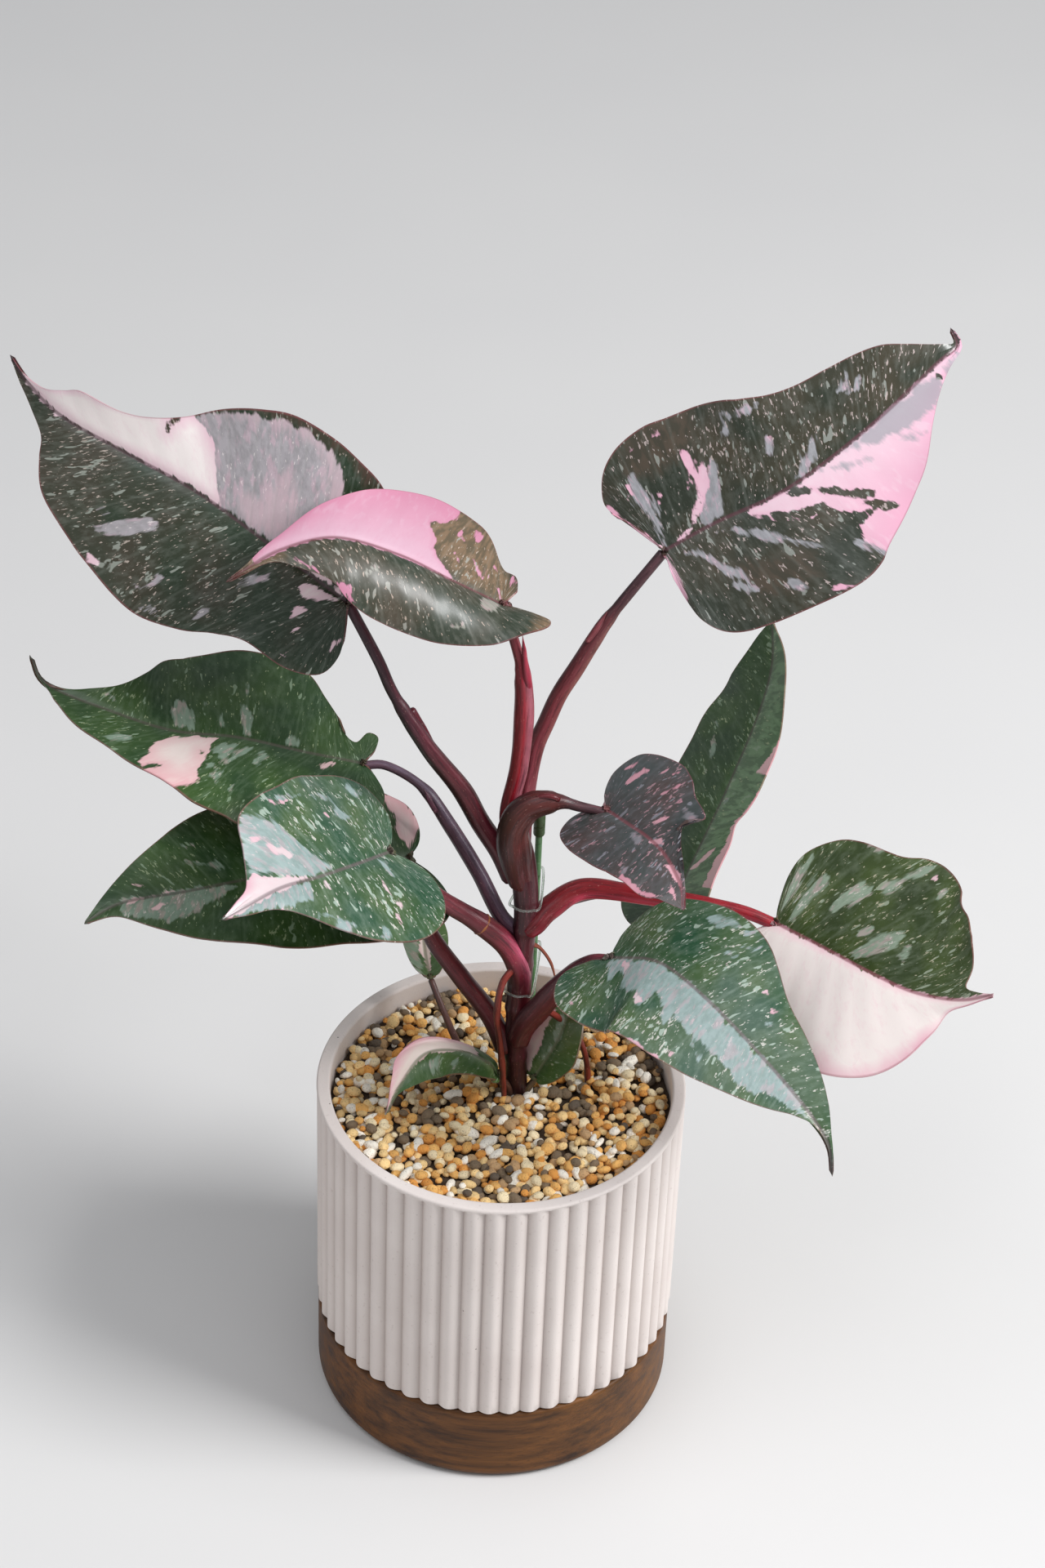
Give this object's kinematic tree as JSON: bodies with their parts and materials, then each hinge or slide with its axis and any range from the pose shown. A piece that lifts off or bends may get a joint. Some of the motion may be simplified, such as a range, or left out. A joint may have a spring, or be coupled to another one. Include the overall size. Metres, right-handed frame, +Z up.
{
  "type": "potted pink princess philodendron",
  "caption": "Pink princess philodendron with dark green and pink variegated leaves, in a fluted pale stoneware pot on a round dark wood base.",
  "frame": {"origin": "centre of the flat underside of the wood base, on the pot's axis", "axes": "+Z up along the pot's axis, -Y towards the side shown in the picture, +X to its right"},
  "size_m": [0.3455, 0.2083, 0.41],
  "materials": {
    "dark_wood": "walnut stain, satin",
    "stoneware": "matte, finely speckled",
    "substrate": "loose mix of bark, pumice and baked clay granules",
    "stem": "living stem, satin, dark maroon",
    "leaf_blade": "living leaf, waxy, dark green with pink and mint variegation",
    "green_wire": "plastic coated wire",
    "clear_plastic": "clear, slightly cloudy",
    "dried_sheath": "dry, papery"
  },
  "bodies": {
    "root": {"wood_base": "dark_wood", "pot": "stoneware", "substrate": "substrate", "stem_and_petioles": "stem", "shoot_stalk_back_left": "stem", "plant_stake": "green_wire", "stake_clip_upper": "clear_plastic", "stake_clip_lower": "clear_plastic", "dried_bud_sheath": "dried_sheath", "leaf_upper_left": "leaf_blade", "leaf_top_folded": "leaf_blade", "leaf_upper_right": "leaf_blade", "leaf_mid_left": "leaf_blade", "leaf_low_left": "leaf_blade", "leaf_front_left": "leaf_blade", "leaf_small_centre": "leaf_blade", "leaf_back_right": "leaf_blade", "leaf_front_right": "leaf_blade", "leaf_half_pink": "leaf_blade", "leaf_soil_left": "leaf_blade", "leaf_soil_right": "leaf_blade", "leaf_back_left": "leaf_blade"}
  },
  "joints": []
}
